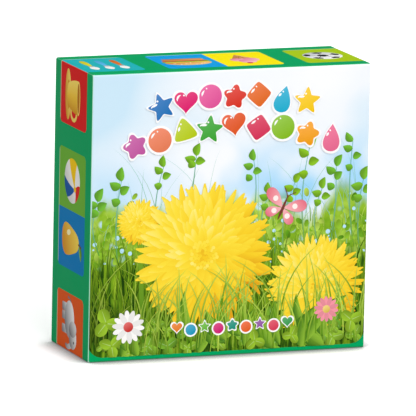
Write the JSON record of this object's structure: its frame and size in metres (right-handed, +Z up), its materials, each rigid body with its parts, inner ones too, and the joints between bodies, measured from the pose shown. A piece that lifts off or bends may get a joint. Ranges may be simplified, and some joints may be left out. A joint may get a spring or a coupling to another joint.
{
  "type": "board book in a slipcase",
  "caption": "Square, chunky board book with rounded corners that slides sideways out of a printed, folded card slipcase with a band of coloured picture tiles.",
  "frame": {"origin": "centre of the slipcase's underside, as it stands upright", "axes": "+Z up, -Y is the front with the picture, +X points out of the case's mouth, the way the book slides out"},
  "size_m": [0.12, 0.045, 0.118],
  "materials": {
    "case_card": "printed, gloss laminated outside, bare white card inside",
    "cover_card": "printed, gloss laminated",
    "leaf_board": "cut white board edges"
  },
  "bodies": {
    "case": {"slipcase": "case_card"},
    "book": {"book_cover": "cover_card", "page_block": "leaf_board"}
  },
  "joints": [
    {"name": "book_slide", "type": "slide", "parent": "case", "child": "book", "axis": [1, 0, 0], "range_m": [0, 0.118]}
  ]
}
